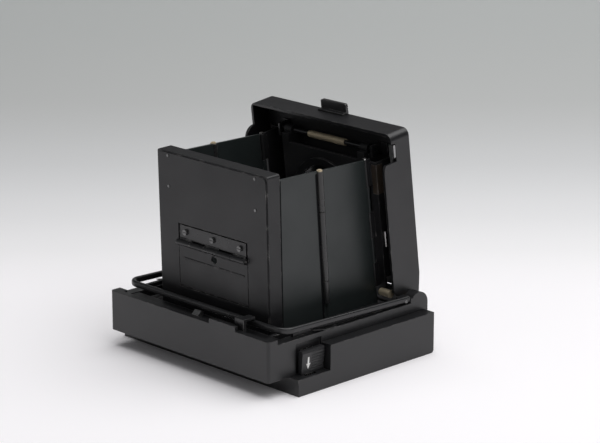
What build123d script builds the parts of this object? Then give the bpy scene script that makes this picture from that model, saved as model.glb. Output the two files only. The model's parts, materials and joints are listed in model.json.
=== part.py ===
from build123d import *
import math
import os

# Folding waist-level finder (focusing hood) of a medium-format reflex camera.
# Millimetres. +X is the user's right seen from the front, -Y is the front, +Z is up.
# The origin is under the middle of the finder, on the plane that it stands on.

# ---- driving dimensions -------------------------------------------------------------
CLEAR = 0.3  # working gap between parts that pass each other
PIN_FIT = 0.05  # radial clearance of a pin in its holes

FOOT_HALF_WIDTH = 52.0
FOOT_FRONT = -34.2
FOOT_REAR = 42.4
FOOT_HEIGHT = 17.3
FOOT_PLATE = 6.9  # thickness of the foot's bottom plate
FOOT_EDGE = 1.5  # rounding of the lower rear edge
POCKET_REAR = 38.4  # the tray lies in a pocket this deep
REAR_STEP_Z = 14.6  # height of the foot's step behind the tray
NOTCH_REAR = -16.8  # the side walls start here, behind the release sliders

TRAY_HALF_WIDTH = 46.9
TRAY_INNER = 42.2
TRAY_REAR = 38.0
TRAY_FRONT_WALL = 2.7
TRAY_REAR_WALL = 0.8
TRAY_FLOOR = 1.5
TRAY_CORNER = 1.2
TRAY_SIDE_TOP = 21.6
TRAY_FRONT_TOP = 23.6
TRAY_SIDE_FRONT = -40.5  # the side walls drop to their own height behind this
LIP_X = (13.0, 28.0)  # raised part of the front wall
LIP_TOP = 25.6
LIP_THICK = 1.5
DECK_TOP = 21.4  # top of the latch housing, below the pressed bail
DECK_REAR = -33.8
RIDGE_X = (43.0, 44.6)  # low ridge on the side walls, inside the bail
RIDGE_TOP = 23.2
BAFFLE_X = (34.4, 36.0)  # upright light baffle beside the hood
BAFFLE_Y = (-33.6, 27.0)
BAFFLE_TOP = 20.8
REAR_WALL_HALF = 38.5
REAR_WALL_TOP = 22.5
REAR_LIP_Y = 43.6
REAR_LIP_TOP = 23.2

OPENING_HALF_WIDTH = 33.2  # the light path, where the folding hood swings through
OPENING_FRONT = -32.6
OPENING_REAR = 37.0

PIVOT_Y = 38.9  # lid hinge, through the two ears of the tray
PIVOT_Z = 20.4
PIVOT_RADIUS = 1.5
PIVOT_END = 46.0
EAR_RADIUS = 5.0
EAR_FRONT = 33.9
EAR_TOP = 23.6

LID_HALF_WIDTH = 40.7
LID_SLOPE = 0.125  # the open lid leans forward by this much for each unit of height
LID_PIVOT_DEPTH = 7.81  # outer face to pivot
LID_TOP = 72.2  # measured up the lid from the pivot
LID_SHEET = 1.2
LID_CORNER = 3.0
LID_RIM_TOP = 10.3  # rim depth at the top
LID_RIM = 15.3  # rim depth lower down
LID_STEP = 57.2  # where the rim starts to narrow
LID_LUG = 3.2  # radius of the lugs round the pivot
SKIRT_TOP = 9.7  # the lid's skirt bends in below this, measured up the lid
SKIRT_FOOT = 2.2
SKIRT_IN = 1.1

LEAF_OUTER = 30.9  # outer face of the folding side leaves
LEAF_SHEET = 0.9
LEAF_BOTTOM = 19.0
LEAF_TOP_FRONT = 81.2
LEAF_TOP_REAR = 80.4
KNUCKLE = 0.95  # outer radius of the rear and front leaf hinges
MID_KNUCKLE = 1.1  # outer radius of the middle leaf hinges
KNUCKLE_GAP = 0.2
LEAF_PIN = 0.45
SIDE_AXIS_X = 30.1  # rear and front leaf hinges
MID_AXIS_X = 31.0  # middle leaf hinge, just outside the leaves
REFERENCE_Z = 80.4  # height at which the hinge lines are placed
REAR_AXIS_Y = 23.8
LEAF_LENGTH = 26.1  # hinge line to hinge line at the reference height
REAR_SLOPE = LID_SLOPE
FRONT_SLOPE = 0.025
OPEN_PIVOT_FIT = 0.15  # looser fit of the left front hinge, where the fold's loop closes
SIDE_GAP = 0.3  # a leaf's edge to the hinge line beside it
MIDDLE_GAP = 0.1  # the same at the middle hinge

PANEL_HALF_WIDTH = 32.1
PANEL_TOP = 83.8
PANEL_BOTTOM = 19.4
PANEL_FACE_Y = -32.2  # outer face at the top edge
PANEL_SHEET = 1.2
PANEL_RIM = 6.9
PANEL_RIM_SHEET = 0.6
FACE_INSET = 0.6  # the face plate is smaller than the rim by this much
FACE_PROUD = 0.5
FACE_CORNER = 2.6
RIM_CORNER = 1.0

FLAP_AXIS_Z = 47.3
FLAP_SHEET = 0.55
FLAP_AXIS_PROUD = 0.8  # hinge line in front of the panel's face
FLAP_KNUCKLE = 1.2
FLAP_HALF_WIDTH = 20.1
FLAP_BOTTOM = 28.8
STRIP_HALF_WIDTH = 19.3
STRIP_TOP = 54.5
SEAT_DEPTH = 0.6  # recess in the panel's face for the strip and the flap
WINDOW_HALF_WIDTH = 16.5
WINDOW_Z = (31.5, 44.5)
PEEP_HOLE = (0.6, 43.7)
PEEP_RADIUS = 1.7
SMALL_SCREW = 0.6

BAIL_X = 46.0
BAIL_THICK = 1.8
BAIL_HEIGHT = 2.6
BAIL_EDGE = 0.8
BAIL_BEND = 5.1
BAIL_TAIL = 1.6  # the bar goes on behind its pivot by this much
BAIL_FRONT_Y = -36.5
BAIL_FRONT_Z = 25.5
BAIL_PIVOT_Y = 31.6
BAIL_PIVOT_Z = 23.6
BAIL_PIN = 0.75
BAIL_PIN_AT = (BAIL_PIVOT_Y, BAIL_PIVOT_Z - 0.6)  # the pin runs low in the bar

SLIDER_FRONT = -29.7
SLIDER_REAR = -17.6
SLIDER_BOTTOM = 7.1
SLIDER_TOP = 16.7
SLIDER_FACE_TOP = 15.7  # the face ends in a bevel above this
SLIDER_FACE = 49.6
SLIDER_TAPER = 0.8  # the face leans in by this much towards the bottom
SLIDER_SMOOTH = 5.0  # front part of the face, without ridges
SLIDER_RIDGES = 7
CLAW_X = (45.0, 47.6, 49.2)  # tip of the hook, inner and outer side of the stem
CLAW_Y = (-27.6, -23.4)
CLAW_BOTTOM = 1.4
CLAW_ROOM = 0.9  # the slot in the foot is wider than the claw by this much

SCREW_PLACES = [(x, y) for x in (-39.3, 39.3) for y in (-18.0, 22.0)]
SCREW_RADIUS = 1.0
SCREW_HEAD = 1.9
SCREW_SINK = 1.8

AXLE_UP = 62.3  # magnifier axle, measured up the lid from its pivot
AXLE_DEPTH = 6.0
AXLE_RADIUS = 0.9
AXLE_HALF = 27.2
SPRING_RADIUS = 1.5
SPRING_HALF = 10.8
LENS_RADIUS = 16.0
LENS_UP = 36.5
LENS_DEPTH = 9.0
LENS_EDGE = 1.6
LENS_SAG = 2.2
PLATE_HALF = 24.0
PLATE_DEPTH = (8.2, 9.6)

# ---- frames -------------------------------------------------------------------------
LID_LEAN = math.atan(LID_SLOPE)
lean_sin = math.sin(LID_LEAN)
lean_cos = math.cos(LID_LEAN)
LID_REAR = PIVOT_Y + LID_PIVOT_DEPTH * lean_cos - SKIRT_TOP * lean_sin
TRAY_FRONT = -LID_REAR  # the finder is as deep in front of its middle as behind it
WALL_BACK = TRAY_FRONT + TRAY_FRONT_WALL
FLOOR_TOP = FOOT_PLATE + TRAY_FLOOR
# The lid's frame: x across, y up the outer face, z the depth inwards from that face.
LID = Plane(
    origin=(0, PIVOT_Y + LID_PIVOT_DEPTH * lean_cos, PIVOT_Z + LID_PIVOT_DEPTH * lean_sin),
    x_dir=(1, 0, 0),
    z_dir=(0, -lean_cos, -lean_sin),
)
# The lid's outline in a plane of its own: x is the depth, y runs down the lid.
LID_PROFILE = Plane(origin=LID.origin, x_dir=LID.z_dir, z_dir=(1, 0, 0))
front_lean = math.atan(FRONT_SLOPE)
# The front panel's frame: x across, mirrored, y up from the top edge, z inwards.
PANEL = Plane(
    origin=(0, PANEL_FACE_Y, PANEL_TOP),
    x_dir=(-1, 0, 0),
    z_dir=(0, math.cos(front_lean), math.sin(front_lean)),
)
SIDES = {"right": 1, "left": -1}


# ---- helpers ------------------------------------------------------------------------
def span(x, y, z):
    """A box between (low, high) along each axis."""
    sizes = [high - low for low, high in (x, y, z)]
    middles = [(high + low) / 2 for low, high in (x, y, z)]
    return Pos(*middles) * Box(*sizes)


def rod(start, end, radius):
    """A cylinder from one point to another."""
    start, end = Vector(*start), Vector(*end)
    along = end - start
    place = Plane(origin=start, z_dir=along) * Pos(0, 0, along.length / 2)
    return place * Cylinder(radius, along.length)


def slab(points, low, high, plane=Plane.YZ):
    """An outline extruded between two offsets along the plane's normal."""
    outline = plane.offset(low) * make_face(Polyline(*points, close=True))
    return extrude(outline, amount=high - low, dir=plane.z_dir)


def mirrored(shape, side):
    """The shape itself on the right, its mirror image on the left."""
    return shape if side > 0 else mirror(shape, about=Plane.YZ)


def join(pieces):
    """One shape out of several that meet."""
    pieces = list(pieces)
    whole = pieces[0]
    for piece in pieces[1:]:
        whole = whole + piece
    return whole


def hinge_line(x, y, slope):
    """The points of a leaf hinge, by height."""
    return lambda z: (x, y + slope * (REFERENCE_Z - z), z)


# The three hinge lines of a side fan out from one point far above the finder, with the
# middle one halfway between the others by angle, so that the panel folds back squarely.
FAN_HEIGHT = 2 * LEAF_LENGTH / (REAR_SLOPE - FRONT_SLOPE)
MID_SLOPE = math.tan((math.atan(REAR_SLOPE) + math.atan(FRONT_SLOPE)) / 2)
MID_AXIS_Y = REAR_AXIS_Y - FAN_HEIGHT * (REAR_SLOPE - MID_SLOPE)

REAR_LINE = hinge_line(SIDE_AXIS_X, REAR_AXIS_Y, REAR_SLOPE)
MID_LINE = hinge_line(MID_AXIS_X, MID_AXIS_Y, MID_SLOPE)
FRONT_LINE = hinge_line(SIDE_AXIS_X, REAR_AXIS_Y - 2 * LEAF_LENGTH, FRONT_SLOPE)

# heights at which a hinge's knuckles pass from one part to the other
SIDE_BREAKS = [26.0, 36.0, 47.0, 58.0, 69.0]
REAR_BREAKS = SIDE_BREAKS + [LEAF_TOP_REAR]
FRONT_BREAKS = SIDE_BREAKS + [LEAF_TOP_FRONT]
MID_TOP = (LEAF_TOP_FRONT + LEAF_TOP_REAR) / 2
MID_BREAKS = [25.5, 35.0, 64.0, MID_TOP]


def spans(breaks, first):
    """Every second stretch between the breaks, starting with the first or the second."""
    pairs = list(zip(breaks[:-1], breaks[1:]))[first::2]
    return [(low + KNUCKLE_GAP / 2, high - KNUCKLE_GAP / 2) for low, high in pairs]


def rods(line, stretches, radius):
    """Knuckles along a hinge line."""
    return join(rod(line(low), line(high), radius) for low, high in stretches)


def bore(line, breaks, fit=PIN_FIT):
    """The hole for a leaf hinge's pin, through all of its knuckles."""
    return rod(line(breaks[0] - 2), line(breaks[-1] + 2), LEAF_PIN + fit)


def both_sides(side, inner, outer):
    """The low and high x of a stretch that lies at inner to outer on the given side."""
    return sorted((side * inner, side * outer))


# ---- fixed base ---------------------------------------------------------------------
def opening(low, high):
    half = OPENING_HALF_WIDTH
    return span((-half, half), (OPENING_FRONT, OPENING_REAR), (low, high))


def foot_shell():
    above = FOOT_HEIGHT + 1
    shell = span((-FOOT_HALF_WIDTH, FOOT_HALF_WIDTH), (FOOT_FRONT, FOOT_REAR), (0, FOOT_HEIGHT))
    rear_edge = shell.edges().filter_by(Axis.X).sort_by(Axis.Z)[:2].sort_by(Axis.Y)[-1]
    shell = fillet(rear_edge, FOOT_EDGE)
    inner = TRAY_HALF_WIDTH
    shell -= span((-inner, inner), (FOOT_FRONT - 1, POCKET_REAR), (FOOT_PLATE, above))
    shell -= span((-inner, inner), (TRAY_REAR, FOOT_REAR + 1), (REAR_STEP_Z, above))
    for side in SIDES.values():
        notch = both_sides(side, inner, FOOT_HALF_WIDTH + 1)
        shell -= span(notch, (FOOT_FRONT - 1, NOTCH_REAR), (FOOT_PLATE, above))
        slot = both_sides(side, CLAW_X[0] - CLAW_ROOM, CLAW_X[2] + CLAW_ROOM)
        slot_y = (CLAW_Y[0] - CLAW_ROOM, CLAW_Y[1] + CLAW_ROOM)
        shell -= span(slot, slot_y, (-1, FOOT_PLATE + 1))
    shell -= opening(-1, FOOT_PLATE + 1)
    for x, y in SCREW_PLACES:
        shell -= rod((x, y, -1), (x, y, FOOT_PLATE + 1), SCREW_RADIUS + PIN_FIT)
        shell -= rod((x, y, -1), (x, y, SCREW_SINK), SCREW_HEAD + PIN_FIT)
    return shell


def rear_wall():
    """Closes the gap below the lid's skirt, stepped back at its top."""
    half = REAR_WALL_HALF
    bridge_front, bridge_top = 39.4, 16.6
    wall_front = bridge_front + 1.0
    lip_bottom = 20.5
    base = span((-TRAY_INNER - 1, TRAY_INNER + 1), (bridge_front, FOOT_REAR), (REAR_STEP_Z, bridge_top))
    wall = span((-half, half), (wall_front, FOOT_REAR), (bridge_top - 0.5, REAR_WALL_TOP))
    lip = span((-half, half), (FOOT_REAR - 0.5, REAR_LIP_Y), (lip_bottom, REAR_LIP_TOP))
    return base + wall + lip


def ear(side):
    """The ear round one end of the lid's hinge, with its foot on the foot shell's step."""
    width = both_sides(side, TRAY_INNER, TRAY_HALF_WIDTH)
    round_end = rod((width[0], PIVOT_Y, PIVOT_Z), (width[1], PIVOT_Y, PIVOT_Z), EAR_RADIUS)
    post = span(width, (EAR_FRONT, PIVOT_Y + EAR_RADIUS), (REAR_STEP_Z, PIVOT_Z))
    shoulder = span(width, (EAR_FRONT, PIVOT_Y), (REAR_STEP_Z, EAR_TOP))
    return round_end + post + shoulder


def tray_shell():
    w, t = TRAY_HALF_WIDTH, TRAY_INNER
    above = TRAY_FRONT_TOP + 1
    inner_rear = TRAY_REAR - TRAY_REAR_WALL
    rear_wall_low = 11.0
    lug_y, lug_top = (29.6, 34.5), 24.4
    ridge_half = 30.0
    scoop_inner, scoop_top = 45.7, 19.7
    shell = span((-w, w), (TRAY_FRONT, TRAY_REAR), (FOOT_PLATE, TRAY_FRONT_TOP))
    corners = shell.edges().filter_by(Axis.Z).sort_by(Axis.Y)[:2]
    shell = fillet(corners, TRAY_CORNER)
    shell -= span((-t, t), (WALL_BACK, inner_rear), (FLOOR_TOP, above))
    # the lid's lugs and the folded hood need the rear wall low
    shell -= span((-t, t), (inner_rear - 1, TRAY_REAR + 1), (rear_wall_low, above))
    half = OPENING_HALF_WIDTH
    shell -= span((-half, half), (inner_rear - 1, TRAY_REAR + 1), (FLOOR_TOP, above))
    shell -= span((-w - 1, w + 1), (TRAY_SIDE_FRONT, TRAY_REAR + 1), (TRAY_SIDE_TOP, above))
    shell -= opening(0, FLOOR_TOP + 1)
    shell += span(LIP_X, (TRAY_FRONT, TRAY_FRONT + LIP_THICK), (TRAY_FRONT_TOP - 1, LIP_TOP))
    shell += rear_wall()
    for side in SIDES.values():
        # lug that the bail's pin sits in
        lug = span(both_sides(side, t + 0.2, RIDGE_X[1] + 0.1), lug_y, (TRAY_SIDE_TOP - 2, lug_top))
        ridge = span(both_sides(side, *RIDGE_X), (-ridge_half, ridge_half), (TRAY_SIDE_TOP - 1, RIDGE_TOP))
        baffle = span(both_sides(side, *BAFFLE_X), BAFFLE_Y, (FLOOR_TOP - 1, BAFFLE_TOP))
        shell += ear(side) + lug + ridge + baffle
        pivot_hole = [(side * x, PIVOT_Y, PIVOT_Z) for x in (t - 1, PIVOT_END)]
        shell -= rod(*pivot_hole, PIVOT_RADIUS)
        shell -= rod((side * (t - 1), *BAIL_PIN_AT), (side * (w + 1), *BAIL_PIN_AT), BAIL_PIN)
        # scooped pocket that the thumb reaches the release slider through
        scoop_y = (SLIDER_FRONT - 4 * CLEAR, NOTCH_REAR)
        shell -= span(both_sides(side, scoop_inner, w + 1), scoop_y, (FOOT_PLATE - 1, scoop_top))
    for x, y in SCREW_PLACES:
        shell -= rod((x, y, FOOT_PLATE - 1), (x, y, FLOOR_TOP + 1), SCREW_RADIUS)
    return shell


def tray_screws():
    """Slotted screws that hold the foot to the tray from below."""
    screws = []
    head_bottom = SCREW_SINK - 1.2
    slot_half, slot_depth = 0.25, 0.5
    for x, y in SCREW_PLACES:
        head = rod((x, y, head_bottom), (x, y, SCREW_SINK), SCREW_HEAD)
        shank = rod((x, y, SCREW_SINK), (x, y, FLOOR_TOP), SCREW_RADIUS)
        across = (x - SCREW_HEAD, x + SCREW_HEAD)
        slot = span(across, (y - slot_half, y + slot_half), (head_bottom - 0.1, head_bottom + slot_depth))
        screws.append(head + shank - slot)
    return screws


def latch_housing():
    """The closed block behind the tray's front wall that carries the catch and the stop."""
    half = TRAY_INNER - 0.2
    block = span((-half, half), (WALL_BACK, DECK_REAR), (FLOOR_TOP, DECK_TOP))
    rear_edge = block.edges().filter_by(Axis.X).sort_by(Axis.Z)[-2:].sort_by(Axis.Y)[-1]
    return chamfer(rear_edge, 0.8)


def catch_hook():
    """Bright steel catch, in front of the middle of the bail."""
    front, rear, nose = -41.6, -38.9, -38.2
    top, half = 24.6, 1.8
    outline = [
        (front, DECK_TOP),
        (rear, DECK_TOP),
        (rear, DECK_TOP + 0.8),
        (nose, DECK_TOP + 1.6),
        (nose, top - 0.4),
        (nose - 1.4, top),
        (front, top - 2.0),
    ]
    return slab(outline, -half, half)


def bail_stop():
    """Hook over the bail's front bar, which limits how far it springs up."""
    low_x, high_x = 25.0, 30.0
    arm_z = (27.2, 28.2)
    sheet = 1.4
    post = span((low_x, high_x), (WALL_BACK, WALL_BACK + sheet), (DECK_TOP, arm_z[1]))
    arm = span((low_x + sheet, high_x), (WALL_BACK, BAIL_FRONT_Y), arm_z)
    return post + arm


def lid_pins():
    """The lid's hinge pins, fixed in the ears."""
    inner = LID_HALF_WIDTH - 2
    ends = [(side * inner, side * PIVOT_END) for side in SIDES.values()]
    return [rod((a, PIVOT_Y, PIVOT_Z), (b, PIVOT_Y, PIVOT_Z), PIVOT_RADIUS) for a, b in ends]


def lid_spacer_washers():
    """Washers between the lid and the ears."""
    washers = []
    washer_radius = 2 * PIVOT_RADIUS
    for side in SIDES.values():
        low, high = side * (LID_HALF_WIDTH + 0.2), side * TRAY_INNER
        disc = rod((low, PIVOT_Y, PIVOT_Z), (high, PIVOT_Y, PIVOT_Z), washer_radius)
        hole = rod((low - side, PIVOT_Y, PIVOT_Z), (high + side, PIVOT_Y, PIVOT_Z), PIVOT_RADIUS)
        washers.append(disc - hole)
    return washers


def bail_pins():
    inner, outer = TRAY_INNER + 0.2, BAIL_X + 0.7
    ends = [(side * inner, side * outer) for side in SIDES.values()]
    return [rod((a, *BAIL_PIN_AT), (b, *BAIL_PIN_AT), BAIL_PIN) for a, b in ends]


# ---- release sliders ----------------------------------------------------------------
def slider(side):
    """Thumb slider: a smooth front part and ridges behind it, on a face that tapers in."""
    back = TRAY_HALF_WIDTH + CLEAR
    outline = [
        (back, SLIDER_BOTTOM),
        (SLIDER_FACE - SLIDER_TAPER, SLIDER_BOTTOM),
        (SLIDER_FACE, SLIDER_FACE_TOP),
        (SLIDER_FACE - 0.5, SLIDER_TOP),
        (back, SLIDER_TOP),
    ]
    front = Plane(origin=(0, 0, 0), x_dir=(1, 0, 0), z_dir=(0, -1, 0))
    body = slab(outline, -SLIDER_REAR, -SLIDER_FRONT, front)
    ridge_front = SLIDER_FRONT + SLIDER_SMOOTH
    groove_radius = 0.42
    lowest, highest = SLIDER_BOTTOM + 1.5, SLIDER_FACE_TOP - 0.2
    pitch = (highest - lowest) / (SLIDER_RIDGES - 1)
    for n in range(SLIDER_RIDGES):
        z = lowest + n * pitch
        # the face tapers, so each groove follows it
        below = (SLIDER_FACE_TOP - z) / (SLIDER_FACE_TOP - SLIDER_BOTTOM)
        x = SLIDER_FACE - SLIDER_TAPER * below + 0.1
        body -= rod((x, ridge_front, z), (x, SLIDER_REAR + 1, z), groove_radius)
    return mirrored(body, side)


def slider_arrow(side):
    """Flat white inlay that points the way the slider is pushed."""
    middle = SLIDER_FRONT + 3.3
    tip, tail = 2.0, 6.9
    neck = (tip + tail) / 2 - 0.2
    half_head, half_shaft = 1.1, 0.4
    outline = [
        (middle, tip),
        (middle + half_head, neck),
        (middle + half_shaft, neck),
        (middle + half_shaft, tail),
        (middle - half_shaft, tail),
        (middle - half_shaft, neck),
        (middle - half_head, neck),
    ]
    inlay = 0.12
    taper = math.atan2(SLIDER_TAPER, SLIDER_FACE_TOP - SLIDER_BOTTOM)
    face = Plane(
        origin=(SLIDER_FACE - SLIDER_TAPER + 0.02, 0, SLIDER_BOTTOM),
        x_dir=(0, 1, 0),
        z_dir=(math.cos(taper), 0, -math.sin(taper)),
    )
    return mirrored(slab(outline, 0, inlay, face), side)


def lock_claw(side):
    """Hook under the slider that grips the camera's rail."""
    tip, stem_in, stem_out = CLAW_X
    stem = span((stem_in, stem_out), CLAW_Y, (CLAW_BOTTOM, SLIDER_BOTTOM))
    hook_thick = 1.8
    hook = span((tip, stem_in), CLAW_Y, (CLAW_BOTTOM, CLAW_BOTTOM + hook_thick))
    return mirrored(stem + hook, side)


def detent_spring(side):
    """Flat spring between the tray and the slider."""
    sheet_x = (TRAY_HALF_WIDTH - 1.1, TRAY_HALF_WIDTH - 0.8)
    length, height = (-27.5, -21.0), (FLOOR_TOP, 16.5)
    return mirrored(span(sheet_x, length, height), side)


# ---- bail ---------------------------------------------------------------------------
def bail():
    """U-shaped release frame of rounded bar that rises towards the front."""
    rise = math.atan2(BAIL_FRONT_Z - BAIL_PIVOT_Z, BAIL_PIVOT_Y - BAIL_FRONT_Y)
    frame = Plane(
        origin=(0, BAIL_PIVOT_Y, BAIL_PIVOT_Z),
        x_dir=(1, 0, 0),
        z_dir=(0, math.sin(rise), math.cos(rise)),
    )
    front = BAIL_FRONT_Y - BAIL_PIVOT_Y
    corners = [(BAIL_X, BAIL_TAIL), (BAIL_X, front), (-BAIL_X, front), (-BAIL_X, BAIL_TAIL)]
    path = frame * FilletPolyline(*corners, radius=BAIL_BEND)
    start = Plane(origin=path @ 0, x_dir=frame.z_dir, z_dir=path % 0)
    bar = sweep(start * RectangleRounded(BAIL_HEIGHT, BAIL_THICK, BAIL_EDGE), path)
    end = BAIL_X + BAIL_THICK
    return bar - rod((-end, *BAIL_PIN_AT), (end, *BAIL_PIN_AT), BAIL_PIN + PIN_FIT)


def bail_springs():
    """Two leaf springs that lift the bail off the tray's side walls."""
    top, sheet = TRAY_SIDE_TOP, 0.3
    rear, bend, tip, tip_rise = -8.0, -14.0, -21.0, 1.6
    outline = [
        (bend, top),
        (rear, top),
        (rear, top + sheet),
        (bend + sheet, top + sheet),
        (tip, top + tip_rise),
        (tip, top + tip_rise - sheet),
    ]
    width = (45.3, 46.7)
    return [mirrored(slab(outline, *width), side) for side in SIDES.values()]


# ---- lid ----------------------------------------------------------------------------
def lid_box(x, up, depth):
    return LID * span(x, up, depth)


def lid_side_outline():
    """The side of the lid as (depth, up): skirt, lug, deep rim, curved step, shallow rim."""
    points = [(0.0, LID_TOP), (0.0, SKIRT_TOP), (SKIRT_IN, SKIRT_FOOT)]
    for degrees in (250, 270, 290, 320, 350):
        turn = math.radians(degrees)
        points.append((LID_PIVOT_DEPTH + LID_LUG * math.cos(turn), LID_LUG * math.sin(turn)))
    points += [(LID_RIM - 1.0, 4.6), (LID_RIM, 6.0)]
    step = LID_RIM - LID_RIM_TOP
    for n in range(7):
        turn = math.radians(15 * n)
        points.append((LID_RIM - step * (1 - math.cos(turn)), LID_STEP + step * math.sin(turn)))
    points.append((LID_RIM_TOP, LID_TOP))
    return points


def lid_slab(points, low, high):
    """A (depth, up) outline of the lid, extruded across it."""
    return slab([(depth, -up) for depth, up in points], low, high, LID_PROFILE)


def top_corners(shape, plane, above):
    """The edges square to the plane, higher than the given z."""
    return [e for e in shape.edges().filter_by(Axis(plane.origin, plane.z_dir)) if e.center().Z > above]


def lid_shell():
    w, sheet = LID_HALF_WIDTH, LID_SHEET
    solid = lid_slab(lid_side_outline(), -w, w)
    solid = fillet(top_corners(solid, LID, 90), LID_CORNER)
    shell = solid - lid_box((-w + sheet, w - sheet), (-12, LID_TOP - sheet), (sheet, 40))
    # the skirt bends in towards the bottom, so its sheet follows it
    skirt = [
        (0.0, SKIRT_TOP),
        (SKIRT_IN, SKIRT_FOOT),
        (SKIRT_IN + sheet, SKIRT_FOOT),
        (sheet, SKIRT_TOP),
    ]
    shell += lid_slab(skirt, -w, w)
    for side in SIDES.values():
        hole = [(side * x, PIVOT_Y, PIVOT_Z) for x in (w - 3, w + 1)]
        shell -= rod(*hole, PIVOT_RADIUS + PIN_FIT)
    # relief in the right wall for the magnifier's release lever
    relief_up, relief_depth = (60.4, 68.2), (7.9, LID_RIM)
    shell -= lid_box((w - 2, w + 1), relief_up, relief_depth)
    return shell


def latch_tab():
    """Finger tab on the lid's top edge, with a foot inside it and grip grooves on its back."""
    half, height, sheet, corner = 7.2, 4.4, 1.4, 0.8
    groove, pitch = 0.4, 1.0
    foot = lid_box((-half, half), (LID_TOP, LID_TOP + 0.8), (0.3, 3.4))
    tab = lid_box((-half, half), (LID_TOP, LID_TOP + height), (0.0, sheet))
    tab = fillet(top_corners(tab, LID, 94), corner)
    for n in range(3):
        up = LID_TOP + 1.6 + n * pitch
        tab -= lid_box((-half - 1, half + 1), (up, up + groove), (-1, groove / 2))
    return foot + tab


def lid_liner():
    """Thin black inner panel against the lid's back."""
    half, up, sheet = 32.0, (11.0, 69.0), 0.4
    return lid_box((-half, half), up, (LID_SHEET, LID_SHEET + sheet))


def up_lid(z):
    """Distance up the lid of the rear hinge line's point at height z."""
    _, y, _ = REAR_LINE(z)
    return (y - PIVOT_Y) * -lean_sin + (z - PIVOT_Z) * lean_cos


FRAME_WALL_X = (33.0, 34.0)
FRAME_ARM_DEPTH = (12.2, 13.2)


def lid_frame(side):
    """Bent sheet that carries the rear leaf's hinge, riveted inside the lid."""
    up = (10.5, 60.0)
    inner, wall_out, foot_out = 29.9, FRAME_WALL_X[1], 38.0
    web_depth = (FRAME_ARM_DEPTH[1] - 0.2, 14.9)
    foot = lid_box((wall_out, foot_out), up, (LID_SHEET, LID_SHEET + 1.0))
    wall = lid_box(FRAME_WALL_X, up, (LID_SHEET, FRAME_ARM_DEPTH[1]))
    arm = lid_box((inner, FRAME_WALL_X[0]), up, FRAME_ARM_DEPTH)
    arm += lid_box((inner, wall_out), (2.5, up[0]), FRAME_ARM_DEPTH)
    webs = [
        lid_box((inner, inner + LEAF_SHEET), (up_lid(low), up_lid(high)), web_depth)
        for low, high in spans(REAR_BREAKS, 0)
    ]
    shape = foot + wall + arm + join(webs) + rods(REAR_LINE, spans(REAR_BREAKS, 0), KNUCKLE)
    return mirrored(shape - bore(REAR_LINE, REAR_BREAKS), side)


def side_bush(side):
    """Brass stub at the lower end of each frame, lying across the finder."""
    low, high, up, radius = 32.7, 38.3, 4.7, 1.6
    depth = FRAME_ARM_DEPTH[1] + 0.05 + radius
    place = LID * Pos((low + high) / 2, up, depth) * Rot(0, 90, 0)
    return mirrored(place * Cylinder(radius, high - low), side)


# ---- magnifier ----------------------------------------------------------------------
def axle_rod(low, high, radius):
    """A cylinder on the magnifier's axle."""
    return LID * (Pos((low + high) / 2, AXLE_UP, AXLE_DEPTH) * Rot(0, 90, 0) * Cylinder(radius, high - low))


def magnifier_bracket(side):
    """Angle bracket that holds one end of the axle."""
    up = (AXLE_UP - 3, AXLE_UP + 2.2)
    seat = LID_SHEET + 0.4
    inner = AXLE_HALF - 1
    plate = lid_box((inner, AXLE_HALF), up, (seat, AXLE_DEPTH + 2.2))
    flange = lid_box((AXLE_HALF, AXLE_HALF + 3.3), up, (seat, seat + 0.9))
    return mirrored(plate + flange - axle_rod(inner - 5, AXLE_HALF + 10, AXLE_RADIUS), side)


def magnifier_spring():
    """Brass torsion spring wound on the axle, as its outer tube."""
    tube = axle_rod(-SPRING_HALF, SPRING_HALF, SPRING_RADIUS)
    return tube - axle_rod(-SPRING_HALF - 1, SPRING_HALF + 1, AXLE_RADIUS)


def magnifier_plate():
    """Swinging lens plate: two knuckles on the axle and a broad plate with the lens hole."""
    half = PLATE_HALF
    plate = lid_box((-half, half), (16.5, AXLE_UP - 4.5), PLATE_DEPTH)
    square_edges = plate.edges().filter_by(Axis(LID.origin, LID.z_dir))
    plate = fillet([e for e in square_edges if e.center().Z < 50], 6.0)
    for side in SIDES.values():
        low, high = both_sides(side, half - 4, half)
        plate += lid_box((low, high), (AXLE_UP - 5.5, AXLE_UP - 1.0), (7.0, PLATE_DEPTH[1]))
        plate += axle_rod(low, high, 2.0)
    seat = LID * Pos(0, LENS_UP, LENS_DEPTH)
    plate += seat * Cylinder(LENS_RADIUS + 2.0, 1.6)
    plate -= seat * Cylinder(LENS_RADIUS, 6)
    return plate - axle_rod(-half - 6, half + 6, AXLE_RADIUS + PIN_FIT)


def magnifier_bezel():
    """Ring that keeps the lens in its plate."""
    ring = Cylinder(LENS_RADIUS + 2.2, 1.2) - Cylinder(LENS_RADIUS - 0.8, 3)
    return LID * (Pos(0, LENS_UP, LENS_DEPTH + 1.4) * ring)


def magnifier_lens():
    """Plano-convex lens."""
    sag, edge = LENS_SAG, LENS_EDGE
    outer = LENS_RADIUS - 0.02
    radius = (LENS_RADIUS**2 + sag**2) / (2 * sag)
    ball = Pos(0, 0, -edge / 2 - sag + radius) * Sphere(radius)
    dome = ball & Pos(0, 0, -edge / 2 - sag / 2) * Cylinder(outer, sag)
    return LID * (Pos(0, LENS_UP, LENS_DEPTH) * (Cylinder(outer, edge) + dome))


def release_lever():
    """Small steel lever in the lid's right wall that lets the magnifier spring up."""
    w = LID_HALF_WIDTH
    lever = lid_box((w - 2.6, w + 0.1), (62.4, 67.6), (8.3, 9.3))
    tail = lid_box((w - 2.6, w - 1.5), (58.0, 64.5), (7.6, 9.0))
    return lever + tail


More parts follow.
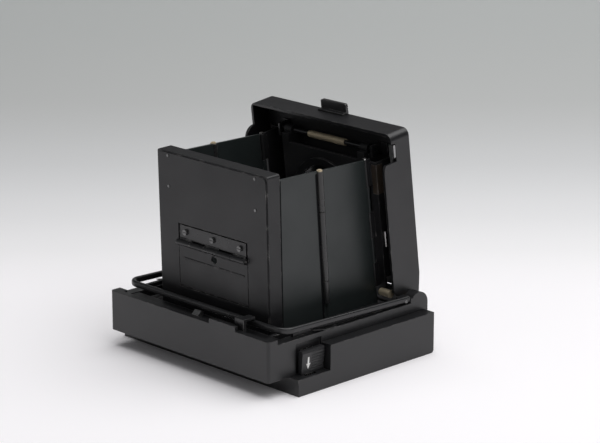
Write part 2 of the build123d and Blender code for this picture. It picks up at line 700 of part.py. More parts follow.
# ---- folding side leaves ------------------------------------------------------------
def leaf(low_line, high_line, tops, own, others):
    """A leaf between two hinge lines, with its own knuckles, notched round the others'."""
    top_front, top_rear = tops
    outline = [
        (low_line(LEAF_BOTTOM)[1], LEAF_BOTTOM),
        (high_line(LEAF_BOTTOM)[1], LEAF_BOTTOM),
        (high_line(top_rear)[1], top_rear),
        (low_line(top_front)[1], top_front),
    ]
    plate = slab(outline, LEAF_OUTER - LEAF_SHEET, LEAF_OUTER)
    for line, breaks, first, radius in others:
        for low, high in spans(breaks, first):
            gap = 2 * KNUCKLE_GAP
            plate -= rod(line(low - gap), line(high + gap), radius + CLEAR)
    for line, breaks, first, radius in own:
        plate += rods(line, spans(breaks, first), radius)
    for line, breaks, _, _ in own:
        plate -= bore(line, breaks)
    return plate


def shifted(line, shift):
    """The same hinge line, moved along y."""
    return lambda z: (line(z)[0], line(z)[1] + shift, z)


def middle_hinge(first):
    return (MID_LINE, MID_BREAKS, first, MID_KNUCKLE)


def rear_hinge(first):
    return (REAR_LINE, REAR_BREAKS, first, KNUCKLE)


def front_hinge(first):
    return (FRONT_LINE, FRONT_BREAKS, first, KNUCKLE)


def rear_leaf(side):
    shape = leaf(
        shifted(MID_LINE, MIDDLE_GAP),
        shifted(REAR_LINE, -SIDE_GAP),
        (MID_TOP, LEAF_TOP_REAR),
        [middle_hinge(1), rear_hinge(1)],
        [middle_hinge(0), rear_hinge(0)],
    )
    return mirrored(shape, side)


def front_leaf(side):
    shape = leaf(
        shifted(FRONT_LINE, SIDE_GAP),
        shifted(MID_LINE, -MIDDLE_GAP),
        (LEAF_TOP_FRONT, MID_TOP),
        [middle_hinge(0), front_hinge(1)],
        [middle_hinge(1), front_hinge(0)],
    )
    if side < 0:
        shape -= bore(FRONT_LINE, FRONT_BREAKS, OPEN_PIVOT_FIT)
    return mirrored(shape, side)


def leaf_pin(line, breaks, side):
    """Hinge pin with a small head at its top."""
    low, high = breaks[0] + 0.1, breaks[-1] + 0.1
    pin = rod(line(low), line(high), LEAF_PIN)
    head = rod(line(high), line(high + 0.5), LEAF_PIN + 0.3)
    return mirrored(pin + head, side)


# ---- front panel --------------------------------------------------------------------
STRIP_SCREWS = [(x, 51.8) for x in (-16.0, 0.0, 16.0)]
RIVETS = [(x, z) for x in (-25.4, 25.4) for z in (69.3, 82.0)]
FLAP_BREAKS = [-FLAP_HALF_WIDTH, -12.0, -4.0, 4.0, 12.0, FLAP_HALF_WIDTH]


def panel_box(x, z, depth):
    """A box in the front panel's frame, with heights given in the finder's own z."""
    return PANEL * span((-x[1], -x[0]), (z[0] - PANEL_TOP, z[1] - PANEL_TOP), depth)


def panel_round(x, z, depth, radius):
    """A cylinder square to the front panel."""
    low, high = depth
    return PANEL * (Pos(-x, z - PANEL_TOP, (low + high) / 2) * Cylinder(radius, high - low))


def panel_hole(x, z, radius):
    return panel_round(x, z, (-1, 3), radius)


def front_panel():
    """Face plate in front of a deep rim, with the sports finder's window."""
    w, face = PANEL_HALF_WIDTH, PANEL_HALF_WIDTH - FACE_INSET
    inner = w - PANEL_RIM_SHEET
    body = panel_box((-w, w), (PANEL_BOTTOM, PANEL_TOP), (FACE_PROUD, PANEL_RIM))
    body = fillet(top_corners(body, PANEL, 80), RIM_CORNER)
    plate = panel_box((-face, face), (PANEL_BOTTOM, PANEL_TOP - FACE_INSET), (0, FACE_PROUD + 0.1))
    body += fillet(top_corners(plate, PANEL, 80), FACE_CORNER)
    hollow_z = (PANEL_BOTTOM - 1, PANEL_TOP - PANEL_SHEET)
    body -= panel_box((-inner, inner), hollow_z, (PANEL_SHEET, PANEL_RIM + 1))
    # stiffening bead along the bottom
    body += panel_box((-inner, inner), (PANEL_BOTTOM, PANEL_BOTTOM + 0.8), (PANEL_SHEET, 2.0))
    seat = FLAP_HALF_WIDTH + CLEAR
    body -= panel_box((-seat, seat), (FLAP_BOTTOM - 0.5, STRIP_TOP + 0.5), (-1, SEAT_DEPTH))
    body -= panel_box((-WINDOW_HALF_WIDTH, WINDOW_HALF_WIDTH), WINDOW_Z, (-1, 3))
    for side in SIDES.values():
        web_x = (SIDE_AXIS_X - 0.2, w - 0.3)
        webs = join(panel_box(web_x, stretch, (2.0, 3.8)) for stretch in spans(FRONT_BREAKS, 0))
        hinge = webs + rods(FRONT_LINE, spans(FRONT_BREAKS, 0), KNUCKLE)
        body += mirrored(hinge, side)
        body -= mirrored(bore(FRONT_LINE, FRONT_BREAKS), side)
    for x, z in STRIP_SCREWS + RIVETS:
        body -= panel_hole(x, z, SMALL_SCREW)
    return body


def flap_rod(low, high, radius):
    """A cylinder on the flap's hinge line."""
    place = Pos(-(low + high) / 2, FLAP_AXIS_Z - PANEL_TOP, -FLAP_AXIS_PROUD) * Rot(0, 90, 0)
    return PANEL * (place * Cylinder(radius, high - low))


def flap_knuckles(first):
    return join(flap_rod(low, high, FLAP_KNUCKLE) for low, high in spans(FLAP_BREAKS, first))


def flap_bore(fit):
    end = FLAP_HALF_WIDTH + 10
    return flap_rod(-end, end, LEAF_PIN + fit)


def hinge_strip():
    """Screwed strip above the sports finder flap, with its share of the hinge."""
    half = STRIP_HALF_WIDTH
    gap = FLAP_KNUCKLE + CLEAR
    strip = panel_box((-half, half), (FLAP_AXIS_Z + gap, STRIP_TOP), (0.05, SEAT_DEPTH))
    for low, high in spans(FLAP_BREAKS, 0):
        tongue = (max(low, -half), min(high, half))
        strip += panel_box(tongue, (FLAP_AXIS_Z, FLAP_AXIS_Z + gap + CLEAR), (-0.3, SEAT_DEPTH))
    strip += flap_knuckles(0)
    for x, z in STRIP_SCREWS:
        strip -= panel_hole(x, z, SMALL_SCREW)
    return strip - flap_bore(0)


def strip_screws():
    """Slotted pan-head screws that hold the strip."""
    head = 1.2
    screws = []
    for x, z in STRIP_SCREWS:
        screw = panel_round(x, z, (-0.75, 0.05), head) + panel_round(x, z, (0.05, 1.6), SMALL_SCREW)
        screws.append(screw - panel_box((x - 1.5, x + 1.5), (z - 0.15, z + 0.15), (-1, -0.4)))
    return screws


def flap_pin():
    return flap_rod(-FLAP_HALF_WIDTH, FLAP_HALF_WIDTH, LEAF_PIN)


def sports_flap():
    """Outward-opening flap over the frame finder's window, with a peep hole."""
    half = FLAP_HALF_WIDTH
    gap = FLAP_KNUCKLE + CLEAR
    flap = panel_box((-half, half), (FLAP_BOTTOM, FLAP_AXIS_Z - gap), (0.0, FLAP_SHEET))
    for stretch in spans(FLAP_BREAKS, 1):
        flap += panel_box(stretch, (FLAP_AXIS_Z - gap - CLEAR, FLAP_AXIS_Z), (-0.3, 0.35))
    flap += flap_knuckles(1)
    flap += panel_box((-half + 2, half - 2), (40.5, 41.1), (-0.25, 0.1))
    flap -= panel_hole(*PEEP_HOLE, PEEP_RADIUS)
    return flap - flap_bore(PIN_FIT)


def panel_rivets():
    return [panel_round(x, z, (-0.2, PANEL_SHEET), SMALL_SCREW) for x, z in RIVETS]


# ---- write the parts ----------------------------------------------------------------
def build():
    parts = {
        "foot_shell": foot_shell(),
        "tray_shell": tray_shell(),
        "tray_screws": tray_screws(),
        "latch_housing": latch_housing(),
        "catch_hook": catch_hook(),
        "bail_stop": bail_stop(),
        "lid_hinge_pins": lid_pins(),
        "lid_hinge_washers": lid_spacer_washers(),
        "bail_pins": bail_pins(),
        "release_bail": bail(),
        "bail_springs": bail_springs(),
        "lid_shell": lid_shell(),
        "latch_tab": latch_tab(),
        "lid_liner": lid_liner(),
        "magnifier_axle": axle_rod(-AXLE_HALF, AXLE_HALF, AXLE_RADIUS),
        "magnifier_spring": magnifier_spring(),
        "magnifier_plate": magnifier_plate(),
        "magnifier_bezel": magnifier_bezel(),
        "magnifier_lens": magnifier_lens(),
        "magnifier_release": release_lever(),
        "front_panel": front_panel(),
        "hinge_strip": hinge_strip(),
        "strip_screws": strip_screws(),
        "flap_pin": flap_pin(),
        "sports_flap": sports_flap(),
        "panel_rivets": panel_rivets(),
    }
    for name, side in SIDES.items():
        parts[f"slider_{name}"] = slider(side)
        parts[f"slider_arrow_{name}"] = slider_arrow(side)
        parts[f"lock_claw_{name}"] = lock_claw(side)
        parts[f"detent_spring_{name}"] = detent_spring(side)
        parts[f"lid_frame_{name}"] = lid_frame(side)
        parts[f"side_bush_{name}"] = side_bush(side)
        parts[f"magnifier_bracket_{name}"] = magnifier_bracket(side)
        parts[f"rear_leaf_{name}"] = rear_leaf(side)
        parts[f"front_leaf_{name}"] = front_leaf(side)
        parts[f"rear_leaf_pin_{name}"] = leaf_pin(REAR_LINE, REAR_BREAKS, side)
        parts[f"middle_leaf_pin_{name}"] = leaf_pin(MID_LINE, MID_BREAKS, side)
        parts[f"front_leaf_pin_{name}"] = leaf_pin(FRONT_LINE, FRONT_BREAKS, side)
    return parts


os.makedirs("parts", exist_ok=True)
for node, shape in build().items():
    solids = shape if isinstance(shape, list) else shape.solids()
    whole = solids[0] if len(solids) == 1 else Compound(children=list(solids))
    export_step(whole, f"parts/{node}.step")
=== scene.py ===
import bmesh
import bpy
import json
import math
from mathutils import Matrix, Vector


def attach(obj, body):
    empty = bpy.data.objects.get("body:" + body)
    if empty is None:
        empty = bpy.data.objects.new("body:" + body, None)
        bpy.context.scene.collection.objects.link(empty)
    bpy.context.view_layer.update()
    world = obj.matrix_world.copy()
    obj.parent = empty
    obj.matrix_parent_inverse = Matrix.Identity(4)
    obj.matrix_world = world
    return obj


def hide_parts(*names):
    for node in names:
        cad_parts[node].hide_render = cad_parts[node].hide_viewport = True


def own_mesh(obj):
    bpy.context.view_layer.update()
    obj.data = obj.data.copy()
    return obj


# Folding waist-level finder, open, on a pale table. Metres, in the frame of the CAD model.
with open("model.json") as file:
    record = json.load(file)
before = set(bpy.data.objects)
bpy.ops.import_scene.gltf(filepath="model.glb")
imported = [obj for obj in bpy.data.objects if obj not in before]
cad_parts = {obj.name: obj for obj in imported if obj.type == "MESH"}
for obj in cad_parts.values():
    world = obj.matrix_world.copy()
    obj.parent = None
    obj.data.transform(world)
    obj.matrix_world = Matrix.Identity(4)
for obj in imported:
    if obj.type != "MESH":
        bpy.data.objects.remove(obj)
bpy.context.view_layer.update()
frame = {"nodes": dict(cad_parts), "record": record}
MM = 0.001

# ---- camera -------------------------------------------------------------------------
CAMERA_AT = Vector((0.69571, -0.65866, 0.32850))
CAMERA_BACK = Vector((0.6895, -0.6696, 0.2761)).normalized()
CAMERA_LENS = 147.67
SENSOR_WIDTH = 36.0


def make_camera():
    data = bpy.data.cameras.new("camera")
    data.lens = CAMERA_LENS
    data.sensor_width = SENSOR_WIDTH
    data.clip_start = 0.01
    data.clip_end = 20.0
    camera = bpy.data.objects.new("camera", data)
    bpy.context.scene.collection.objects.link(camera)
    camera.location = CAMERA_AT
    camera.rotation_euler = CAMERA_BACK.to_track_quat("Z", "Y").to_euler()
    bpy.context.scene.camera = camera


# ---- node helpers -------------------------------------------------------------------
BEVEL_SAMPLES = 6
# sizes of the noise, as cycles per metre
WEAR_SCALE = 260.0
CLOUD_SCALE = 32.0
SMUDGE_SCALE = 55.0
SPECK_SCALE = 2600.0
GRAIN_SCALE = 3800.0
TARNISH_SCALE = 180.0
BRUSHING_SCALE = 1400.0
PLASTIC_CLOUD_SCALE = 60.0
PLASTIC_SMUDGE_SCALE = 90.0
PLASTIC_GRAIN_SCALE = 5200.0
INLAY_DIRT_SCALE = 900.0
LENS_DUST_SCALE = 700.0


def new_material(name):
    """A material with an empty node tree, its Principled shader and its output."""
    material = bpy.data.materials.new(name)
    material.use_nodes = True
    tree = material.node_tree
    tree.nodes.clear()
    shader = tree.nodes.new("ShaderNodeBsdfPrincipled")
    output = tree.nodes.new("ShaderNodeOutputMaterial")
    tree.links.new(shader.outputs["BSDF"], output.inputs["Surface"])
    return material, tree, shader


def noise(tree, scale, detail=3.0, roughness=0.55, stretch=(1, 1, 1)):
    """Noise in the object's own coordinates, which are metres."""
    coords = tree.nodes.new("ShaderNodeTexCoord")
    mapping = tree.nodes.new("ShaderNodeMapping")
    mapping.inputs["Scale"].default_value = stretch
    texture = tree.nodes.new("ShaderNodeTexNoise")
    texture.inputs["Scale"].default_value = scale
    texture.inputs["Detail"].default_value = detail
    texture.inputs["Roughness"].default_value = roughness
    tree.links.new(coords.outputs["Object"], mapping.inputs["Vector"])
    tree.links.new(mapping.outputs["Vector"], texture.inputs["Vector"])
    return texture.outputs["Fac"]


def remap(tree, value, low, high, to_low, to_high):
    node = tree.nodes.new("ShaderNodeMapRange")
    node.inputs["From Min"].default_value = low
    node.inputs["From Max"].default_value = high
    node.inputs["To Min"].default_value = to_low
    node.inputs["To Max"].default_value = to_high
    tree.links.new(value, node.inputs["Value"])
    return node.outputs["Result"]


def mix_colour(tree, factor, first, second):
    """Mixes two colours; each is a colour or another node's output."""
    node = tree.nodes.new("ShaderNodeMix")
    node.data_type = "RGBA"
    tree.links.new(factor, node.inputs["Factor"])
    for socket, colour in ((node.inputs["A"], first), (node.inputs["B"], second)):
        if isinstance(colour, tuple):
            socket.default_value = (*colour, 1.0)
        else:
            tree.links.new(colour, socket)
    return node.outputs["Result"]


def arithmetic(tree, operation, first, second):
    node = tree.nodes.new("ShaderNodeMath")
    node.operation = operation
    for socket, value in zip(node.inputs, (first, second)):
        if isinstance(value, (int, float)):
            socket.default_value = value
        else:
            tree.links.new(value, socket)
    return node.outputs["Value"]


def bump(tree, shader, height, distance, strength, edge_radius=0.0):
    """Fine relief, on top of softly rounded edges where a radius is given."""
    node = tree.nodes.new("ShaderNodeBump")
    if edge_radius:
        rounded = tree.nodes.new("ShaderNodeBevel")
        rounded.samples = BEVEL_SAMPLES
        rounded.inputs["Radius"].default_value = edge_radius
        tree.links.new(rounded.outputs["Normal"], node.inputs["Normal"])
    node.inputs["Distance"].default_value = distance
    node.inputs["Strength"].default_value = strength
    tree.links.new(height, node.inputs["Height"])
    tree.links.new(node.outputs["Normal"], shader.inputs["Normal"])
    return node


def edge_wear(tree, radius, amount):
    """Close to 1 along edges, broken up by noise, and 0 on flat faces."""
    bevel = tree.nodes.new("ShaderNodeBevel")
    bevel.samples = BEVEL_SAMPLES
    bevel.inputs["Radius"].default_value = radius
    geometry = tree.nodes.new("ShaderNodeNewGeometry")
    dot = tree.nodes.new("ShaderNodeVectorMath")
    dot.operation = "DOT_PRODUCT"
    tree.links.new(bevel.outputs["Normal"], dot.inputs[0])
    tree.links.new(geometry.outputs["Normal"], dot.inputs[1])
    edge = remap(tree, dot.outputs["Value"], 0.995, 0.85, 0.0, 1.0)
    patchy = noise(tree, WEAR_SCALE, 4.0)
    patches = remap(tree, patchy, 0.62 - amount * 0.25, 0.72, 0.0, 1.0)
    return arithmetic(tree, "MULTIPLY", edge, patches)


# ---- materials ----------------------------------------------------------------------
EDGE_RADIUS = 0.30 * MM  # how softly the paint rounds an edge
PAINT_WEAR_RADIUS = 0.35 * MM
PLASTIC_WEAR_RADIUS = 0.30 * MM
PAINT_GRAIN_DEPTH = 0.02 * MM
BRUSHING_DEPTH = 0.01 * MM
PLASTIC_GRAIN_DEPTH = 0.01 * MM
DUST_COLOUR = (0.16, 0.16, 0.16)
WORN_PLASTIC = (0.09, 0.09, 0.09)


def black_paint(
    name, colour, lighter, roughness, wear=0.25, grain=0.35, bare=(0.30, 0.29, 0.28), specular=0.5
):
    """Satin black paint: fine grain, faint cloudiness, dust specks and rubbed edges."""
    material, tree, shader = new_material(name)
    cloud = remap(tree, noise(tree, CLOUD_SCALE, 4.0), 0.35, 0.68, 0.0, 1.0)
    base = mix_colour(tree, cloud, colour, lighter)
    specks = remap(tree, noise(tree, SPECK_SCALE, 1.0), 0.79, 0.84, 0.0, 0.55)
    base = mix_colour(tree, specks, base, DUST_COLOUR)
    worn = edge_wear(tree, PAINT_WEAR_RADIUS, wear)
    base = mix_colour(tree, worn, base, bare)
    tree.links.new(base, shader.inputs["Base Color"])
    smudge = noise(tree, SMUDGE_SCALE, 5.0, 0.6)
    rough = remap(tree, smudge, 0.3, 0.7, roughness - 0.06, roughness + 0.07)
    tree.links.new(rough, shader.inputs["Roughness"])
    tree.links.new(arithmetic(tree, "MULTIPLY", worn, 0.8), shader.inputs["Metallic"])
    shader.inputs["Specular IOR Level"].default_value = specular
    fine = noise(tree, GRAIN_SCALE, 2.0)
    bump(tree, shader, fine, PAINT_GRAIN_DEPTH, grain, EDGE_RADIUS)
    return material


def bare_metal(name, colour, roughness, brushed=(1, 1, 1), dark=0.6, metallic=1.0):
    """Bright metal with fine brushing and slight tarnish."""
    material, tree, shader = new_material(name)
    shader.inputs["Metallic"].default_value = metallic
    tarnish = remap(tree, noise(tree, TARNISH_SCALE, 5.0), 0.35, 0.7, 0.0, 1.0)
    base = mix_colour(tree, tarnish, colour, tuple(c * dark for c in colour))
    tree.links.new(base, shader.inputs["Base Color"])
    lines = noise(tree, BRUSHING_SCALE, 2.0, 0.5, brushed)
    rough = remap(tree, lines, 0.3, 0.7, roughness - 0.08, roughness + 0.12)
    tree.links.new(rough, shader.inputs["Roughness"])
    bump(tree, shader, lines, BRUSHING_DEPTH, 0.25)
    return material


def moulded_plastic(name, colour, roughness):
    """Black plastic, slightly cloudy, with paler edges."""
    material, tree, shader = new_material(name)
    cloud = remap(tree, noise(tree, PLASTIC_CLOUD_SCALE, 3.0), 0.35, 0.65, 0.0, 1.0)
    base = mix_colour(tree, cloud, colour, tuple(c * 1.35 for c in colour))
    worn = edge_wear(tree, PLASTIC_WEAR_RADIUS, 0.2)
    base = mix_colour(tree, worn, base, WORN_PLASTIC)
    tree.links.new(base, shader.inputs["Base Color"])
    smudge = noise(tree, PLASTIC_SMUDGE_SCALE, 4.0)
    rough = remap(tree, smudge, 0.3, 0.7, roughness - 0.05, roughness + 0.08)
    tree.links.new(rough, shader.inputs["Roughness"])
    bump(tree, shader, noise(tree, PLASTIC_GRAIN_SCALE, 2.0), PLASTIC_GRAIN_DEPTH, 0.3)
    return material


def white_inlay(name):
    """White paint in the arrows, a little dirty."""
    material, tree, shader = new_material(name)
    dirt = remap(tree, noise(tree, INLAY_DIRT_SCALE, 4.0), 0.5, 0.75, 0.0, 0.7)
    base = mix_colour(tree, dirt, (0.80, 0.80, 0.78), (0.45, 0.44, 0.42))
    tree.links.new(base, shader.inputs["Base Color"])
    shader.inputs["Roughness"].default_value = 0.5
    return material


def lens_glass(name):
    """Clear glass with some dust."""
    material, tree, shader = new_material(name)
    shader.inputs["Base Color"].default_value = (0.96, 0.98, 0.98, 1.0)
    shader.inputs["Transmission Weight"].default_value = 1.0
    shader.inputs["IOR"].default_value = 1.52
    dust = remap(tree, noise(tree, LENS_DUST_SCALE, 5.0), 0.55, 0.8, 0.02, 0.12)
    tree.links.new(dust, shader.inputs["Roughness"])
    return material


# each paint: two shades, roughness and amount of wear
PAINTS = {
    "cast_black": ((0.009, 0.009, 0.010), (0.012, 0.012, 0.013), 0.34, 0.5),
    "lid_black": ((0.006, 0.006, 0.007), (0.009, 0.009, 0.010), 0.36, 0.5),
    "hood_black": ((0.003, 0.003, 0.004), (0.004, 0.004, 0.005), 0.42, 0.4),
    "leaf_black": ((0.013, 0.017, 0.017), (0.017, 0.021, 0.021), 0.42, 0.15),
    "inner_black": ((0.003, 0.003, 0.004), (0.004, 0.004, 0.005), 0.60, 0.1),
    "black_steel": ((0.009, 0.009, 0.010), (0.014, 0.014, 0.015), 0.30, 0.6),
    "bronze": ((0.022, 0.017, 0.013), (0.055, 0.040, 0.028), 0.40, 0.6),
    "sleeve": ((0.016, 0.017, 0.018), (0.026, 0.025, 0.024), 0.26, 0.5),
}


def make_materials():
    materials = {name: black_paint(name, *settings) for name, settings in PAINTS.items()}
    # near-black, nearly unreflective paint for the strips that are painted shadow in the hinge and
    # rim gaps
    painted_shadow_black_shades = (0.002, 0.002, 0.003), (0.005, 0.005, 0.005)
    materials["painted_shadow_black"] = black_paint("painted_shadow_black", *painted_shadow_black_shades, 0.85, 0.0, specular=0.12)
    materials["dark_screw"] = bare_metal("dark_screw", (0.20, 0.20, 0.20), 0.36)
    materials["lever_steel"] = bare_metal("lever_steel", (0.34, 0.34, 0.34), 0.34)
    materials["bright_steel"] = bare_metal("bright_steel", (0.66, 0.65, 0.63), 0.26, (1, 1, 0.1))
    materials["brass"] = bare_metal(
        "brass", (0.62, 0.53, 0.38), 0.50, brushed=(0.1, 1, 1), dark=0.85, metallic=0.6
    )
    materials["slider_plastic"] = moulded_plastic("slider_plastic", (0.012, 0.012, 0.013), 0.40)
    materials["white_paint"] = white_inlay("white_paint")
    materials["lens_glass"] = lens_glass("lens_glass")
    return materials


# nodes that look different from the rest of their material slot
OWN_FINISH = {
    "magnifier_release": "lever_steel",
    "catch_hook": "lever_steel",
    "magnifier_axle": "black_steel",
    "middle_leaf_pin_right": "brass",
    "middle_leaf_pin_left": "brass",
}


def dress_nodes(materials):
    """Every CAD node takes its finish from the record's material slot, or has its own."""
    finishes = {entry["node"]: entry["material_slot"] for entry in frame["record"]["subparts"]}
    finishes.update(OWN_FINISH)
    for name, node in frame["nodes"].items():
        material = materials[finishes[name]]
        for slot in node.material_slots:
            slot.material = material
        if not node.material_slots:
            node.data.materials.append(material)


# ---- small pieces -------------------------------------------------------------------
# Sizes here are in millimetres, as in the CAD model, and become metres in the two *_point
# functions. The lid's frame has x across, up along its outer face, and depth inwards.
SIDES = (("right", 1), ("left", -1))
LID_SLOPE = 0.125
LID_PIVOT = Vector((0.0, 38.9, 20.4))
LID_PIVOT_DEPTH = 7.81
LID_LEAN = math.atan(LID_SLOPE)
LID_UP = Vector((0, -math.sin(LID_LEAN), math.cos(LID_LEAN)))
LID_IN = Vector((0, -math.cos(LID_LEAN), -math.sin(LID_LEAN)))
ACROSS = Vector((1, 0, 0))
AXLE_UP = 62.3
AXLE_DEPTH = 6.0
# the leaves' hinge lines fan out upwards, with the middle one halfway by angle
HINGE_REFERENCE_Z = 80.4
REAR_AXIS_Y = 23.8
LEAF_LENGTH = 26.1
FRONT_SLOPE = 0.025
MID_SLOPE = math.tan((math.atan(LID_SLOPE) + math.atan(FRONT_SLOPE)) / 2)
FAN_HEIGHT = 2 * LEAF_LENGTH / (LID_SLOPE - FRONT_SLOPE)
MID_AXIS_Y = REAR_AXIS_Y - FAN_HEIGHT * (LID_SLOPE - MID_SLOPE)
FRONT_AXIS_Y = REAR_AXIS_Y - 2 * LEAF_LENGTH
MID_AXIS_X = 31.0
LEAF_OUTER = 30.9
# the stretches of the middle hinge, which belong to the front, rear and front leaf
MID_STRETCHES = [(25.6, 34.9), (35.1, 63.9), (64.1, 80.7)]
SLEEVE_RADIUS = 1.4
COLLAR_RADIUS = 1.15
COLLAR_HEIGHT = 0.45
STRIP_BOTTOM = 19.2
FRAME_OUT = 34.0
FRAME_FRONT = 13.2
FACING_SHEET = 0.15
# a box's faces, where its points run through x, then the second and the third measure
BOX_FACES = [(0, 1, 3, 2), (4, 6, 7, 5), (0, 4, 5, 1), (2, 3, 7, 6), (0, 2, 6, 4), (1, 5, 7, 3)]


def lid_point(x, up, depth):
    """A point in the lid's frame, in metres."""
    return (LID_PIVOT - LID_IN * LID_PIVOT_DEPTH + ACROSS * x + LID_UP * up + LID_IN * depth) * MM


def hinge_point(slope, y_at_reference, x, z):
    """A point of a leaf hinge's line, by height, in metres."""
    return Vector((x, y_at_reference + slope * (HINGE_REFERENCE_Z - z), z)) * MM


def add_piece(name, points, faces, material, body, smooth=False):
    """A mesh that rides on a body, with the material given."""
    mesh = bpy.data.meshes.new(name)
    mesh.from_pydata([tuple(point) for point in points], [], faces)
    tool = bmesh.new()
    tool.from_mesh(mesh)
    bmesh.ops.recalc_face_normals(tool, faces=tool.faces)
    tool.to_mesh(mesh)
    tool.free()
    for face in mesh.polygons:
        face.use_smooth = smooth
    mesh.materials.append(material)
    piece = bpy.data.objects.new(name, mesh)
    bpy.context.scene.collection.objects.link(piece)
    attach(piece, body)
    return piece


def tube_points(centres, radius, sides):
    """Rings of points square to a path, and the faces between them, with closed ends."""
    points, faces = [], []
    last = len(centres) - 1
    for n, centre in enumerate(centres):
        ahead = centres[min(n + 1, last)] - centres[max(n - 1, 0)]
        first = ahead.cross(ACROSS if abs(ahead.normalized().x) < 0.9 else LID_UP).normalized()
        second = ahead.cross(first).normalized()
        for side in range(sides):
            turn = 2 * math.pi * side / sides
            spoke = first * math.cos(turn) + second * math.sin(turn)
            points.append(centre + spoke * radius)
    for n in range(last):
        for side in range(sides):
            after = (side + 1) % sides
            a, b = n * sides + side, n * sides + after
            faces.append((a, b, b + sides, a + sides))
    faces.append(tuple(reversed(range(sides))))
    faces.append(tuple(range(last * sides, (last + 1) * sides)))
    return points, faces


def wound_spring(materials):
    """The magnifier's torsion spring as a close-wound coil round its axle."""
    half, wire, coil, pitch = 10.6, 0.28, 1.25, 0.5
    steps, sides = 16, 8
    turns = int(2 * half / pitch)
    centres = []
    for n in range(turns * steps + 1):
        turn = 2 * math.pi * n / steps
        up = AXLE_UP + coil * math.cos(turn)
        depth = AXLE_DEPTH + coil * math.sin(turn)
        centres.append(lid_point(-half + pitch * n / steps, up, depth))
    points, faces = tube_points(centres, wire * MM, sides)
    brass = materials["brass"]
    spring = add_piece("magnifier_coil", points, faces, brass, "lid", smooth=True)
    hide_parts("magnifier_spring")


def lid_strip(name, side, x, up, depth, materials):
    """A flat strip inside the lid, given by its low and high x, height and depth."""
    points = [lid_point(side * a, b, c) for a in x for b in up for c in depth]
    add_piece(name, points, BOX_FACES, materials["bronze"], "lid")


def frame_details(name, side, materials):
    """Bronze facing round the corner of a leaf frame, and the end of its spring."""
    up = (46.6, 59.1)
    facing_out, facing_front = FRAME_OUT + FACING_SHEET, FRAME_FRONT + FACING_SHEET
    side_x, side_depth = (FRAME_OUT, facing_out), (9.8, FRAME_FRONT)
    front_x, front_depth = (31.4, facing_out), (FRAME_FRONT, facing_front)
    lid_strip(f"frame_facing_side_{name}", side, side_x, up, side_depth, materials)
    lid_strip(f"frame_facing_front_{name}", side, front_x, up, front_depth, materials)
    radius, depth, pin_up = 0.60, 11.6, (23.8, 30.3)
    ends = [lid_point(side * (FRAME_OUT + radius), height, depth) for height in pin_up]
    points, faces = tube_points(ends, radius * MM, 16)
    steel = materials["bright_steel"]
    add_piece(f"frame_spring_end_{name}", points, faces, steel, "lid")


def bail_leaf_springs(materials):
    """The springs under the bail, as bent strips of sheet."""
    side_top = 21.6
    sheet, rear, bend, tip, rise = 0.3, -8.0, -14.0, -21.0, 1.6
    outline = [
        (bend, side_top),
        (rear, side_top),
        (rear, side_top + sheet),
        (bend + sheet, side_top + sheet),
        (tip, side_top + rise),
        (tip, side_top + rise - sheet),
    ]
    width, flattened = (45.3, 46.7), 0.35
    steel = materials["black_steel"]
    count = len(outline)
    for name, side in SIDES:
        points = [Vector((side * x, y, z)) * MM for x in width for y, z in outline]
        faces = [tuple(range(count)), tuple(reversed(range(count, 2 * count)))]
        for n in range(count):
            after = (n + 1) % count
            faces.append((n, after, after + count, n + count))
        spring = add_piece(f"bail_spring_{name}", points, faces, steel, "base")
        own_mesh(spring)
        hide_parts("bail_springs")


def middle_hinge_tube(name, side, low, high, radius, material, slot, body):
    """A tube round one stretch of a middle hinge."""
    ends = [hinge_point(MID_SLOPE, MID_AXIS_Y, side * MID_AXIS_X, z) for z in (low, high)]
    points, faces = tube_points(ends, radius * MM, 24)
    add_piece(name, points, faces, material, body)


def hinge_sleeves(name, side, materials):
    """Rolled sleeves over a middle hinge, and a worn brass collar on top of them."""
    sleeve, brass = materials["sleeve"], materials["brass"]
    for n, (low, high) in enumerate(MID_STRETCHES):
        leaf = "front" if n % 2 == 0 else "rear"
        body = f"{leaf}_leaf_{name}"
        label = f"hinge_sleeve_{name}_{n}"
        middle_hinge_tube(label, side, low, high, SLEEVE_RADIUS, sleeve, "black_steel", body)
    top = MID_STRETCHES[-1][1]
    collar = (top, top + COLLAR_HEIGHT)
    body = f"front_leaf_{name}"
    middle_hinge_tube(f"hinge_collar_{name}", side, *collar, COLLAR_RADIUS, brass, "brass", body)


def painted_shadow_strip(label, name, side, slope, y_at_reference, width, top, materials):
    """A matt black strip on the front leaf's outer face, beside a hinge: painted shadow standing in
    for the shaded gap there.
    """
    points = []
    for x in (LEAF_OUTER - 0.05, LEAF_OUTER + 0.04):
        for z in (STRIP_BOTTOM, top):
            for across in width:
                points.append(hinge_point(slope, y_at_reference + across, side * x, z))
    painted_shadow_black, body = materials["painted_shadow_black"], f"front_leaf_{name}"
    add_piece(f"{label}_{name}", points, BOX_FACES, painted_shadow_black, body)


def painted_shadow_strips(name, side, materials):
    """Painted shadow: matt black strips for the dark shaded gaps in front of the middle hinge and
    behind the front panel's rim.
    """
    beside_middle, beside_panel = (-2.4, -1.4), (3.6, 4.9)
    middle, front = (MID_SLOPE, MID_AXIS_Y), (FRONT_SLOPE, FRONT_AXIS_Y)
    painted_shadow_strip("hinge_shadow_strip", name, side, *middle, beside_middle, 79.8, materials)
    painted_shadow_strip("front_edge_shadow_strip", name, side, *front, beside_panel, 80.6, materials)


# ---- stage --------------------------------------------------------------------------
# how pale the sheet is, by distance behind the object as a share of SHEET_FADE: painted shade for the
# light's fall-off across the sheet, darkest at the far end so that top faces reflect dark
SHEET_FADE = 0.50
SHEET_SHADE_TONES = [
    (0.124, (0.97, 0.95, 0.97)),
    (0.197, (0.94, 0.92, 0.94)),
    (0.269, (0.88, 0.87, 0.88)),
    (0.394, (0.71, 0.71, 0.72)),
    (0.498, (0.55, 0.555, 0.56)),
    (0.587, (0.45, 0.455, 0.45)),
    (0.724, (0.41, 0.425, 0.42)),
    (0.800, (0.39, 0.40, 0.40)),
    (0.900, (0.12, 0.12, 0.12)),
]


